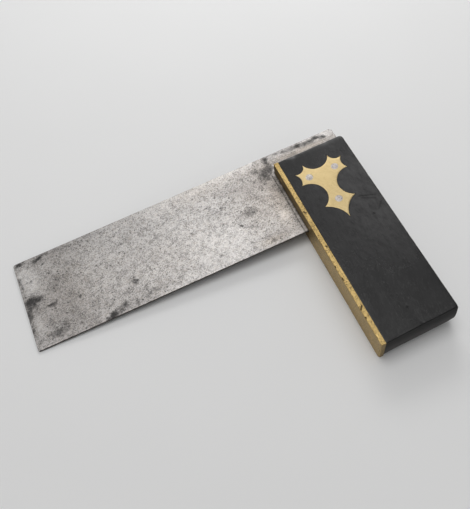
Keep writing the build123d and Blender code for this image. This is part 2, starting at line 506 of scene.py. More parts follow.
ebonyFinish = {
    "dark": (0.0037, 0.0036, 0.0036, 1),
    "light": (0.0086, 0.0083, 0.0082, 1),
    "worn": (0.005, 0.0048, 0.0047, 1),
    "scratched": (0.003, 0.003, 0.003, 1),
    "paleStreak": (0.056, 0.0548, 0.0552, 1),  # paler streaks, mostly towards the head
    "endPaler": (0.080, 0.0775, 0.076, 1),  # in the end grain, paler towards the bottom
    "grain": {"Long": 26.0, "Wide": 0.55, "Turn": alongStock},  # streaks, in mm
    "pores": {"Long": 2.6, "Wide": 0.13, "Turn": alongStock},
    "rubbed": {"Long": 7.0, "Wide": 0.8, "Turn": alongStock},
    "wiped": {"Long": 5.0, "Wide": 2.6, "Turn": alongStock - 0.25},
    "thin": {"Long": 1.7, "Wide": 0.7, "Turn": alongStock - 0.2},
    "handled": (0.045, 3.0, 0.5),  # scale, detail and roughness of the noise
    "uneven": (0.8, 4.0, 0.65),
    "grainRange": (0.30, 0.72),  # the noise from none to full
    "poreRange": (0.60, 0.70),
    "rubbedRange": (0.44, 0.68),
    "paleStreakRange": (0.26, 1.18),
    "headFade": (60.0, 8.0, 0.0, 1.0),  # from and to this y, share of the paler streaks there
    "endFade": (-42.0, -18.0, 0.0, 1.0),  # and again towards the very end of the head
    "sideFade": (-4.0, -34.0, 0.34, 1.0),  # and the same for x
    "endPalerFade": (7.0, -8.0),  # from and to this z
    "polish": (0.3, 0.7, 0.14, 0.19),  # handling from and to, and the roughness there
    "endRoughness": 0.85,
    "arrisWidth": 0.9,
    "share": {"pores": 0.6, "thin": 0.7, "arris": 0.55, "rubbed": 0.45, "matt": 0.13},
    "relief": {"pores": -0.6, "marks": -0.4, "grain": 0.35, "uneven": 0.3},
    "bump": (0.04, 0.8),  # depth in mm and strength
    "scratches": [  # start, end, width in mm and depth, on the upper side; the last two are pits
        ((-30.4, -2.2, 8.8), (-38.7, 0.8, 8.8), 1.5, 0.4),
        ((-31.2, -0.5, 8.8), (-37.6, 2.7, 8.8), 1.3, 0.35),
        ((-39.3, 5.7, 8.8), (-36.0, 9.2, 8.8), 1.4, 0.4),
        ((-32.2, 10.4, 8.8), (-32.5, 10.7, 8.8), 1.5, 0.6),
        ((-20.3, 62.9, 8.8), (-20.5, 63.1, 8.8), 1.6, 0.75),
    ],
}


def makeEbony():
    look, share, relief = ebonyFinish, ebonyFinish["share"], ebonyFinish["relief"]
    material, tree, shader, place = startMaterial("ebonyWood")
    grain, pores, rubbed, wiped, thin = (
        useGroup(tree, streaks, place, **look[name]) for name in ("grain", "pores", "rubbed", "wiped", "thin")
    )
    poreMask = ramp(tree, pores, *look["poreRange"])
    tone = mixColour(tree, ramp(tree, grain, *look["grainRange"]), look["dark"], look["light"])
    tone = mixColour(tree, times(tree, poreMask, share["pores"]), tone, look["dark"])
    x, y, z = put(tree, "ShaderNodeSeparateXYZ", {0: place}).outputs
    faded = times(tree, ramp(tree, x, *look["sideFade"]), ramp(tree, y, *look["headFade"]))
    faded = times(tree, faded, ramp(tree, y, *look["endFade"]))
    paleStreak = ramp(tree, addShare(tree, thin, share["thin"], wiped), *look["paleStreakRange"])
    tone = mixColour(tree, times(tree, paleStreak, faded), tone, look["paleStreak"])
    ends = attributeOf(tree, "endGrain")
    tone = mixColour(tree, times(tree, ends, ramp(tree, z, *look["endPalerFade"])), tone, look["endPaler"])
    middle, half = tuple((stockLow + stockHigh) / 2), tuple((stockHigh - stockLow) / 2)
    edge = useGroup(tree, arrisWear, place, Middle=middle, Half=half, Width=look["arrisWidth"])
    tone = mixColour(tree, times(tree, edge, share["arris"]), tone, look["worn"])
    marks = scratchMarks(tree, place, look["scratches"])
    tone = mixColour(tree, marks, tone, look["scratched"])
    tree.links.new(tone, shader.inputs["Base Color"])
    tree.links.new(marks, shader.inputs["Metallic"])  # on a near black this only takes the gloss away
    matt = larger(tree, times(tree, ramp(tree, rubbed, *look["rubbedRange"]), share["rubbed"]), poreMask)
    polished = ramp(tree, cloud(tree, place, *look["handled"]), *look["polish"])
    rough = plus(tree, polished, times(tree, matt, share["matt"]))
    rough = larger(tree, rough, times(tree, ends, look["endRoughness"]))
    tree.links.new(rough, shader.inputs["Roughness"])
    height = plus(tree, times(tree, poreMask, relief["pores"]), times(tree, marks, relief["marks"]))
    height = addShare(tree, grain, relief["grain"], height)
    height = addShare(tree, cloud(tree, place, *look["uneven"]), relief["uneven"], height)
    addBump(tree, shader, height, *look["bump"])
    return material


# Brass

brassFinish = {
    "facing": {
        "bright": (0.625, 0.455, 0.193, 1),
        "deep": (0.31, 0.218, 0.086, 1),
        # tarnish: also the colour of the painted shade beside the blade
        "tarnish": (0.085, 0.058, 0.030, 1),
        "roughness": (0.34, 0.52),
        "brush": {"Long": 14.0, "Wide": 0.22, "Turn": alongStock},
        "clean": 0.53,  # how much of it has no tarnish
    },
    "plate": {
        "bright": (0.555, 0.439, 0.238, 1),
        "deep": (0.445, 0.339, 0.168, 1),
        "tarnish": (0.26, 0.19, 0.09, 1),
        "roughness": (0.34, 0.48),
        "brush": {"Long": 6.0, "Wide": 0.16, "Turn": math.pi / 3},
        "clean": 0.66,
    },
    "pin": {
        "bright": (0.60, 0.42, 0.175, 1),
        "deep": (0.42, 0.285, 0.11, 1),
        "tarnish": (0.13, 0.09, 0.04, 1),
        "roughness": (0.36, 0.55),
        "brush": {"Long": 3.0, "Wide": 0.18, "Turn": 0.4},
        "clean": 0.56,
    },
}
brassWear = {
    "mottle": (0.85, 4.0, 0.65),  # scale, detail and roughness of the noise
    "mottleRange": (0.3, 0.7),
    "spots": {"Size": 0.6, "Soft": 0.09},
    "haze": {"Size": 6.0, "Clean": 0.46, "Soft": 0.3},
    "toneRange": (0.34, 0.66),
    "mottledGrimeShade": (0.25, 0.5, 0.7, 1.0),  # the mottle from and to, and the share of the grime and painted shade there
    "share": {"brush": 0.55, "mottle": 0.45, "haze": 0.35, "spots": 0.75, "dull": 0.18, "relief": 0.6},
    "bump": (0.012, 0.7),
    "dints": [  # start, end, width in mm and depth of the dark marks in the facing
        ((-0.9, -6.9, 8.8), (-1.4, -5.9, 8.8), 1.2, 2.2),
        ((-1.6, 16.5, 8.8), (-1.9, 17.0, 8.8), 1.1, 2.2),
        ((-1.7, 53.0, 8.8), (-0.1, 54.9, 8.8), 0.9, 2.2),
        ((-0.3, 28.8, 8.8), (-0.2, 29.3, 8.8), 0.9, 2.2),
        ((-0.5, 36.3, 8.8), (-0.1, 37.2, 8.8), 1.1, 2.2),
        ((-0.3, 59.2, 8.8), (-0.1, 59.8, 8.8), 1.1, 2.2),
    ],
}


def makeBrass(name, look, withGrimeAndShade=False):
    wear, share = brassWear, brassWear["share"]
    material, tree, shader, place = startMaterial(name)
    brush = useGroup(tree, streaks, place, **look["brush"])
    mottle = cloud(tree, place, *wear["mottle"])
    spots = useGroup(tree, blotches, place, Clean=look["clean"], **wear["spots"])
    haze = useGroup(tree, blotches, place, **wear["haze"])
    worn = plus(tree, times(tree, brush, share["brush"]), times(tree, mottle, share["mottle"]))
    tone = mixColour(tree, ramp(tree, worn, *wear["toneRange"]), look["deep"], look["bright"])
    tone = mixColour(tree, times(tree, haze, share["haze"]), tone, look["deep"])
    dull = times(tree, spots, share["spots"])
    # on the facing, grime and the painted shade beside the blade and at the slot pull the tone towards
    # tarnish
    if withGrimeAndShade:
        mottledGrimeShade = times(tree, attributeOf(tree, "grimeAndShade"), ramp(tree, mottle, *wear["mottledGrimeShade"]))
        dull = larger(tree, dull, larger(tree, scratchMarks(tree, place, wear["dints"]), mottledGrimeShade))
    tone = mixColour(tree, dull, tone, look["tarnish"])
    tree.links.new(tone, shader.inputs["Base Color"])
    shader.inputs["Metallic"].default_value = 1.0
    polished = ramp(tree, mottle, *wear["mottleRange"], *look["roughness"])
    tree.links.new(plus(tree, polished, times(tree, dull, share["dull"])), shader.inputs["Roughness"])
    addBump(tree, shader, maths(tree, "SUBTRACT", times(tree, brush, share["relief"]), dull), *wear["bump"])
    return material


# Steel

steelFinish = {
    "blade": {
        "bright": (0.645, 0.626, 0.611, 1),
        "grey": (0.29, 0.280, 0.273, 1),
        "pit": (0.070, 0.066, 0.063, 1),
        "warm": (0.48, 0.43, 0.372, 1),
        "tan": (0.94, 0.87, 0.79, 1),
        # the colour of the stains and of the painted shade beside the brass face and on the edges
        "stain": (0.040, 0.038, 0.037, 1),
        "dull": (0.36, 0.343, 0.331, 1),
    },
    "rivet": {
        "bright": (0.455, 0.425, 0.412, 1),
        "grey": (0.28, 0.261, 0.257, 1),
        "pit": (0.15, 0.138, 0.134, 1),
        "warm": (0.55, 0.48, 0.40, 1),
    },
}
steelWear = {
    "noises": {  # scale, detail and roughness
        "drift": (0.03, 3.0, 0.5),
        "patchy": (0.16, 4.0, 0.6),
        "soft": (0.42, 3.0, 0.55),
        "grainy": (1.0, 3.0, 0.65),
        "fine": (1.9, 2.0, 0.5),
    },
    "brush": {"Long": 30.0, "Wide": 0.45, "Turn": 0.0},
    "smears": {"Long": 9.0, "Wide": 0.8, "Turn": 0.0},
    "pits": {"Size": 0.85, "Reach": 0.66},
    "spots": {"Size": 2.3, "Reach": 0.34},
    "tint": {"Size": 1.1, "Clean": 0.5, "Soft": 0.12},
    "mixture": {"patchy": 0.18, "grainy": 0.26, "soft": 0.20, "fine": 0.44, "brush": 0.12},
    "toneRange": (0.495, 0.675),  # the mixture from grey to bright
    "smearTone": (0.75, 0.15),  # gain and base of the smears that stand in for the mixture
    "rubbedTone": 0.62,  # what the mixture tends to where it is rubbed
    "pitFade": (0.28, 0.62, 0.85, 0.45),  # patchiness from and to, and the strength of the pits there
    "dullPits": (0.0, 0.5, 0.6, 1.0),  # the same for the dulled, calm and rubbed areas
    "calmPits": (0.0, 1.0, 1.0, 0.3),
    "rubbedPits": (0.0, 1.0, 1.0, 0.25),
    "speckle": {"grainy": 0.7, "soft": 0.5, "smears": 1.2},  # what breaks the stains up
    "stainRange": (-0.44, 0.34),
    "roughness": (0.3, 0.7, 0.36, 0.46),  # drift from and to, and the roughness there
    "share": {
        "rubbed": 0.65, "warm": 0.28, "spots": 0.95, "dull": 0.75, "pits": 0.88, "stain": 0.92,
        "metal": 0.35, "rough": 0.22, "relief": 0.3,
    },
    "bump": (0.03, 0.6),
}


def makeSteel(name, look, stainedAndShaded):
    wear, share, speckle = steelWear, steelWear["share"], steelWear["speckle"]
    material, tree, shader, place = startMaterial(name)
    layers = {key: cloud(tree, place, *noise) for key, noise in wear["noises"].items()}
    layers["brush"] = useGroup(tree, streaks, place, **wear["brush"])
    pits, spots = (useGroup(tree, specks, place, **wear[key]) for key in ("pits", "spots"))
    tint = useGroup(tree, blotches, place, **wear["tint"])
    light = 0.0
    for key, weight in wear["mixture"].items():
        light = addShare(tree, layers[key], weight, light)
    if stainedAndShaded:
        calm, rubbed, dull, tan, stain = (
            attributeOf(tree, key) for key in ("calm", "rubbed", "dull", "tan", "stain")
        )
        smears = useGroup(tree, streaks, place, **wear["smears"])
        light = mixValue(tree, calm, light, addShare(tree, smears, *wear["smearTone"]))
        light = mixValue(tree, times(tree, rubbed, share["rubbed"]), light, wear["rubbedTone"])
    tone = mixColour(tree, ramp(tree, light, *wear["toneRange"]), look["grey"], look["bright"])
    tone = mixColour(tree, times(tree, tint, share["warm"]), tone, look["warm"])
    dark = times(tree, pits, ramp(tree, layers["patchy"], *wear["pitFade"]))
    dark = larger(tree, dark, times(tree, spots, share["spots"]))
    if stainedAndShaded:
        tone = mixColour(tree, times(tree, dull, share["dull"]), tone, look["dull"], "MULTIPLY")
        tone = mixColour(tree, tan, tone, look["tan"], "MULTIPLY")
        for area, key in ((dull, "dullPits"), (calm, "calmPits"), (rubbed, "rubbedPits")):
            dark = times(tree, dark, ramp(tree, area, *wear[key]))
    tone = mixColour(tree, times(tree, dark, share["pits"]), tone, look["pit"])
    # stains and the painted shade beside the brass face and on the edges darken the tone here
    if stainedAndShaded:
        breaks = times(tree, layers["soft"], speckle["soft"])
        breaks = addShare(tree, layers["grainy"], speckle["grainy"], breaks)
        breaks = mixValue(tree, calm, breaks, times(tree, smears, speckle["smears"]))
        broken = ramp(tree, maths(tree, "SUBTRACT", stain, breaks), *wear["stainRange"])
        tone = mixColour(tree, times(tree, broken, share["stain"]), tone, look["stain"])
        dark = larger(tree, dark, broken)
    tree.links.new(tone, shader.inputs["Base Color"])
    metal = maths(tree, "SUBTRACT", 1.0, times(tree, dark, share["metal"]))
    tree.links.new(metal, shader.inputs["Metallic"])
    polished = ramp(tree, layers["drift"], *wear["roughness"])
    tree.links.new(plus(tree, polished, times(tree, dark, share["rough"])), shader.inputs["Roughness"])
    height = maths(tree, "SUBTRACT", times(tree, layers["grainy"], share["relief"]), dark)
    addBump(tree, shader, height, *wear["bump"])
    return material


ebonyWood = makeEbony()
facingBrass = makeBrass("facingBrass", brassFinish["facing"], withGrimeAndShade=True)
plateBrass = makeBrass("plateBrass", brassFinish["plate"])
pinBrass = makeBrass("pinBrass", brassFinish["pin"])
bladeSteel = makeSteel("bladeSteel", steelFinish["blade"], stainedAndShaded=True)
rivetSteel = makeSteel("rivetSteel", steelFinish["rivet"], stainedAndShaded=False)
print("materials done")


# Cusped plate: its outline and the rivets in it, from the plate's axis and the blade's inner edge

plate = {
    "cusps": [  # tail, side, lower, outer and crown, mirrored for the other half
        (0, 6.5), (-8.7, -4.4), (-13.4, -21.7), (-13.6, -29.6), (-7.4, -33.5),
    ],
    "scallops": [1.9, 7.4, 1.5, 1.9, 5.4],  # depth of the hollow after each cusp
    "step": 0.3,
    "spacing": 1.1,
    "wallRows": 2,
    "arris": 0.09,
    "fade": 1.8,  # the arris runs out this near to a cusp
    "gap": 0.16,  # between the plate and the wood round it
    "thick": 1.6,
    "below": 0.012,  # how far the plate lies below the stock's full thickness
    "dish": (0.012, 7.0),  # height and pitch of its face's waver
    "skin": 0.02,  # points this near to its face waver
    "seed": 80,
}
rivet = {
    "nodes": ["rivet_inner", "rivet_outer", "rivet_lower"],
    "radius": 1.6,
    "head": 2.0,
    "flare": 0.8,  # depth over which the head narrows to the shank
    "crown": 0.05,
    "dome": (0.0, 0.25, 0.5, 0.75, 0.92, 0.985),  # shares of the head's radius
    "rim": 0.1,  # how far below its crown the head has its full radius
    "room": 0.03,
    "sides": 56,
    "boreSides": 48,
    "uneven": 0.02,
    "facet": (0.02, 2.2),  # height and pitch of the hammered dents in the head
    "facetDepth": 0.06,  # no dent is deeper
    "skin": 0.08,
    "seed": 90,
    "facetSeed": 95,
}


# scallop: the arc from start to end that bows to the left by the given depth
def scallop(start, end, depth, step):
    start, end = np.array(start, float), np.array(end, float)
    chord = np.linalg.norm(end - start)
    radius = (chord ** 2 / 4 + depth ** 2) / (2 * depth)
    along = (end - start) / chord
    left = np.array([-along[1], along[0]])
    centre = (start + end) / 2 + left * (depth - radius)
    first = math.atan2(*(start - centre)[::-1])
    swing = -2 * math.asin(min(1.0, chord / (2 * radius)))
    if depth > radius:
        swing = -(2 * np.pi + swing)
    pieces = max(4, int(round(abs(swing) * radius / step)))
    angle = first + swing * np.arange(pieces) / pieces
    return centre + radius * np.stack([np.cos(angle), np.sin(angle)], axis=1)


def plateOutline():
    cusps = plate["cusps"] + [(-x, y) for x, y in plate["cusps"][:0:-1]]
    depths = plate["scallops"] + plate["scallops"][-2::-1]
    ends = cusps[1:] + cusps[:1]
    arcs = [scallop(start, end, depth, plate["step"]) for start, end, depth in zip(cusps, ends, depths)]
    return np.concatenate(arcs) + np.array([plateAxis, 0]), np.array(cusps) + np.array([plateAxis, 0])


plateLine, plateCusps = plateOutline()
rivetPlaces = {node: (*nodeMiddle(node)[:2], 0) for node in rivet["nodes"]}


# rivetBores: cutters for the shanks, plain, or widening towards both ends as the heads do and on past them
def rivetBores(reach, flared=False):
    radius = rivet["radius"] + rivet["room"]
    profile = [(0, -reach), (radius, -reach), (radius, reach), (0, reach)]
    if flared:
        past = 2.0  # how far the cutter stands out of the piece
        wide = rivet["head"] + rivet["room"]
        wide += past * (wide - radius) / rivet["flare"]
        seat = reach - rivet["flare"]
        profile = [(0, -reach - past), (wide, -reach - past), (radius, -seat),
                   (radius, seat), (wide, reach + past), (0, reach + past)]
    return turnedCutters("bores", profile, rivetPlaces.values(), rivet["boreSides"])


# Stock

stock = {
    "skew": 1.5,  # how much shorter the butt is along the outer edge
    "headRadius": 2.0,
    "buttRadius": 0.45,
    "arrises": [0.65, 0.3, 0.55, 0.8],  # head, joint with the brass, butt and outer edge
    "bulge": 0.8,  # of the butt at half its height, at the outer edge
    "bulgeReach": 3.0,  # from the butt
    "step": 0.55,
    "spacing": 1.5,
    "wallRows": 28,
    "below": 0.03,  # the wood has worn this far below the brass let into it
    "slot": 0.05,  # room on each side of the blade
    "past": 5.0,  # how far cutters stand out of the stock
    "recessPast": 3.0,
    "waver": (0.02, 9.0, 11),  # height, pitch and seed, for the planed sides
    "waverStretch": 0.4,  # the waver is longer along the stock
    "soft": (0.035, 6.0, 12),  # the same for the arrises, which are rubbed down
    "softReach": 1.2,
    "endFade": 0.3,
    "worn": [  # place, reach and pull of the bruises: first the round lower outer corner of the butt
        ((-41.7, 73.4, -8.8), (2.6, 2.4, 3.2), (0.8, -0.6, 1)),
        ((-32, 73.7, -8.8), (11, 1.8, 2), (0, -0.8, 0.8)),
        ((-12, 74.3, -8.8), (11, 1.8, 2), (0, -0.8, 0.8)),
        ((-41.7, 73.3, 8.8), (0.9, 0.9, 0.9), (0.2, -0.15, -0.15)),
        ((-22.5, 74, 8.8), (0.9, 0.6, 0.6), (0, -0.4, -0.3)),
        ((-25, 73.9, 8.8), (0.5, 0.5, 0.5), (0, -0.2, -0.2)),
        ((-41.7, 30, 8.8), (0.6, 1.4, 0.6), (0.18, 0, -0.15)),
        ((-41.7, -12, 8.8), (0.6, 1, 0.6), (0.22, 0, -0.2)),
        ((-41.7, 52, -8.8), (0.7, 1.8, 0.7), (0.3, 0, 0.3)),
        ((-12, -42.2, 8.8), (1.1, 0.6, 0.6), (0, 0.1, -0.08)),
        ((-30, -42.2, -8.8), (1.6, 0.7, 0.7), (0, 0.3, 0.25)),
        ((-9, 74.6, -8.8), (1.4, 0.7, 0.7), (0, -0.3, 0.3)),
        ((-32.3, 10.5, 8.8), (0.55, 0.6, 2), (0, 0, -0.12)),
        ((-20.4, 63, 8.8), (0.6, 0.6, 2), (0, 0, -0.14)),
        ((-12, 40, -8.8), (1, 1.3, 2), (0, 0, 0.12)),
    ],
}


def buttAt(x):
    return facingHigh[1] + stock["skew"] * x / (facingHigh[0] - stockLow[0])


def skewedCorners(low, high):
    return [(low[0], low[1]), (high[0], low[1]), (high[0], buttAt(high[0])), (low[0], buttAt(low[0]))]


def slotCutter():
    low = (stockLow[0] - stock["past"], stockLow[1] - stock["past"])
    high = (stock["past"], stock["slot"])
    half = halfBlade + stock["slot"]
    loop = outlineLoop(boxCorners(low, high), [0] * 4, [0] * 4, noGrid)
    return makePiece("slot", *sweptSolid(loop, -half, half, 0, noGrid, "square"))


# recessCutters: the plate's outline widened by its gap, from the recess's floor out of each broad side
def recessCutters():
    line, inset = mitredLoop(plateLine, -plate["gap"])[:2]
    loop = (line - inset, np.zeros_like(plateLine), np.zeros(len(plateLine)))
    floor, top = halfStock - plate["thick"], halfStock + stock["recessPast"]
    spans = [(floor, top), (-top, -floor)]
    return [makePiece("recess", *sweptSolid(loop, *span, 0, noGrid, "square")) for span in spans]


def makeStock():
    radii = [stock["headRadius"], 0, 0, stock["buttRadius"]]
    loop = outlineLoop(skewedCorners(stockLow, stockHigh), radii, stock["arrises"], stock["step"])
    top = halfStock - stock["below"]
    points, faces = sweptSolid(loop, -top, top, stock["wallRows"], stock["spacing"])
    x, y, z = points.T  # views, so that a change to one of them moves the points
    broad = top - max(stock["arrises"])
    # the broad sides are hand planed, so they waver by a few hundredths, and the arrises a little more
    waver = lowered(x, y * stock["waverStretch"], *stock["waver"])
    z += np.sign(z) * np.where(np.abs(z) > broad, waver, 0)
    nearEdge = np.minimum.reduce([x - stockLow[0], y - stockLow[1], stockHigh[1] - y])
    height, pitch, seed = stock["soft"]
    soft = np.clip(1 - nearEdge / stock["softReach"], 0, 1) * (height + height * ripple(y, x, pitch, seed))
    z -= np.sign(z) * np.where(np.abs(z) > broad, np.abs(soft), 0)
    # the butt is rounded off: it bulges by a parabola over its height, more towards the outer edge
    atButt = np.clip(1 + (y - buttAt(x)) / stock["bulgeReach"], 0, 1)
    y += atButt * (stock["bulge"] * (1 - (z / halfStock) ** 2) * x / stockLow[0])
    piece = makePiece("ebonyStock", carve(points, stock["worn"]), faces)
    cutAway(piece, [slotCutter(), *recessCutters(), rivetBores(halfStock)])
    x, y, z = pointsOf(piece).T
    pastEnd = np.maximum(y - buttAt(x), stockLow[1] - y)
    keepAttribute(piece, "endGrain", np.clip(1 + pastEnd / stock["endFade"], 0, 1))
    finishPiece(piece, "ebony", ebonyWood, "stock")


# Brass facing and its pins

facing = {
    "arris": 0.26,
    "cornerRadii": (0.3, 0.9),  # at the head and at the butt
    "step": 0.32,
    "spacing": 0.6,
    "wallRows": 26,
    "rough": 0.03,  # waver of the two long arrises
    "roughPitch": 3.5,
    "roughSeed": 21,
    "roughDepth": 0.4,  # behind the working face
    "roughBand": 0.8,  # below the broad sides
    # grime over the working face and on the ends; beside the blade and at the slot it is painted shade, for
    # the shade and dark reflections there
    "grimeAndShade": {"all": 0.06, "besideBlade": 0.47, "atSlot": 0.3, "onEnds": 0.42},
    "besideBlade": ((1.0, 1.5), (8.6, 1.4)),  # limit and span of the fade of the painted shade beside the blade, along y and over z
    "faceDepth": 0.35,
    "slotHalf": 1.6,
    "slotFade": (3.0, 3.0),
    "endFade": (0.4, 0.3),
    "dints": [  # place, reach and pull of the nicks along the arrises
        ((0, 29, 8.8), (0.4, 0.4, 0.4), (-0.22, 0, -0.2)),
        ((0, 22.8, 8.8), (0.4, 0.4, 0.4), (-0.1, 0, -0.1)),
        ((0, 36.8, 8.8), (0.5, 0.38, 0.5), (-0.36, 0, -0.34)),
        ((0, 54.7, 8.8), (0.6, 0.42, 0.6), (-0.45, 0, -0.45)),
        ((-0.8, 54, 8.8), (0.9, 0.3, 1.5), (0, 0, -0.14)),
        ((0, 59.5, 8.8), (0.5, 0.36, 0.5), (-0.34, 0, -0.32)),
        ((-1.1, -6.3, 8.8), (0.5, 0.5, 0.5), (-0.05, 0, -0.14)),
        ((0, -21.5, 8.8), (0.3, 0.8, 0.3), (-0.14, 0, -0.12)),
        ((0, 12.3, 8.8), (0.3, 0.7, 0.3), (-0.16, 0, -0.14)),
        ((0, 47, 8.8), (0.3, 0.9, 0.3), (-0.15, 0, -0.12)),
        ((0, 70, 8.8), (0.35, 0.8, 0.35), (-0.18, 0, -0.16)),
        ((0, 18, -8.8), (0.4, 0.9, 0.4), (-0.3, 0, 0.26)),
        ((0, 44, -8.8), (0.4, 0.6, 0.4), (-0.34, 0, 0.3)),
        ((0, -28, -8.8), (0.35, 0.8, 0.35), (-0.24, 0, 0.2)),
        ((0, 74.8, 8.8), (0.7, 0.7, 0.7), (-0.15, -0.2, -0.15)),
        ((0, 74.8, -8.8), (0.8, 0.8, 0.8), (-0.2, -0.25, 0.2)),
    ],
}
pin = {
    "count": 5,
    "radius": 1.1,
    "head": 1.5,
    "flare": 0.8,
    "length": 13.0,
    "point": 1.5,
    "room": 0.03,
    "bore": (-6.0, 1.0),  # where the cutter begins and ends along x
    "sides": 40,
    "rim": 0.07,  # how far below the working face the head has its full radius
    "crown": (0.015, 0.05),  # height of the head's middle, and its drop at the rim
    "dome": (0.97, 0.85, 0.65, 0.4, 0.2, 0.0),  # shares of the head's radius
    "uneven": 0.012,
    "seed": 30,
}
pinNodes = ["facing_pin_%d" % number for number in range(1, pin["count"] + 1)]
pinPlaces = [(0, *nodeMiddle(node)[1:]) for node in pinNodes]


def pinBores():
    inner, outer = pin["bore"]
    bore = pin["radius"] + pin["room"]
    slope = (pin["head"] - pin["radius"]) / pin["flare"]
    wide = bore + slope * (pin["flare"] + outer)
    profile = [(0, inner), (bore, inner), (bore, -pin["flare"]), (wide, outer), (0, outer)]
    return turnedCutters("pinBores", profile, pinPlaces, pin["sides"], "x")


def makeFacing():
    arris = facing["arris"]
    radii = [0, *facing["cornerRadii"], 0]
    loop = outlineLoop(skewedCorners(facingLow, facingHigh), radii, [arris, arris, arris, 0], facing["step"])
    points, faces = sweptSolid(loop, -halfStock, halfStock, facing["wallRows"], facing["spacing"])
    x, y, z = points.T
    rough = facing["rough"] * ripple(y, z, facing["roughPitch"], facing["roughSeed"])
    onArris = (x > -facing["roughDepth"]) & (np.abs(z) > halfStock - facing["roughBand"])
    x -= np.where(onArris, np.abs(rough), 0)
    piece = makePiece("brassFacing", carve(points, facing["dints"]), faces)
    cutAway(piece, [slotCutter(), pinBores()])
    # grime lies on the working face and on both ends; it is strongest beside the blade and at the slot, where
    # the darkening is painted shade and painted reflection
    x, y, z = pointsOf(piece).T
    alongFace, overFace = facing["besideBlade"]
    endReach, endSpan = facing["endFade"]
    share = facing["grimeAndShade"]
    besideBlade = fade(y, *alongFace) * fade(np.abs(z), *overFace)
    atSlot = np.exp(-(np.abs(z) / facing["slotHalf"]) ** 2) * fade(y, *facing["slotFade"])
    onFace = np.clip(1 + x / facing["faceDepth"], 0, 1)
    onEnds = np.clip((np.maximum(y - facingHigh[1], facingLow[1] - y) + endReach) / endSpan, 0, 1)
    grimeAndShade = onFace * (share["all"] + share["besideBlade"] * besideBlade + share["atSlot"] * atSlot)
    keepAttribute(piece, "grimeAndShade", np.clip(np.maximum(grimeAndShade, share["onEnds"] * onEnds), 0, 1))
    finishPiece(piece, "facing_brass", facingBrass, "brass_facing")


# a pin is turned about x: its point, its shank, the flare to the head and a slight dome
def makePins():
    radius, head, length, point = pin["radius"], pin["head"], pin["length"], pin["point"]
    middle, drop = pin["crown"]
    profile = [(0, -length), (radius / 2, point / 2 - length), (radius, point - length)]
    profile += [(radius, -pin["flare"]), (head, -pin["rim"])]
    profile += [(head * share, middle - drop * share ** 2) for share in pin["dome"]]
    for number, (node, place) in enumerate(zip(pinNodes, pinPlaces), start=1):
        points, quads = turnedSolid(profile, place, pin["sides"], "x", pin["uneven"], pin["seed"] + number)
        piece = makePiece("facingPin%d" % number, points, quads.tolist())
        finishPiece(piece, "pin_brass", pinBrass, node)


# Blade

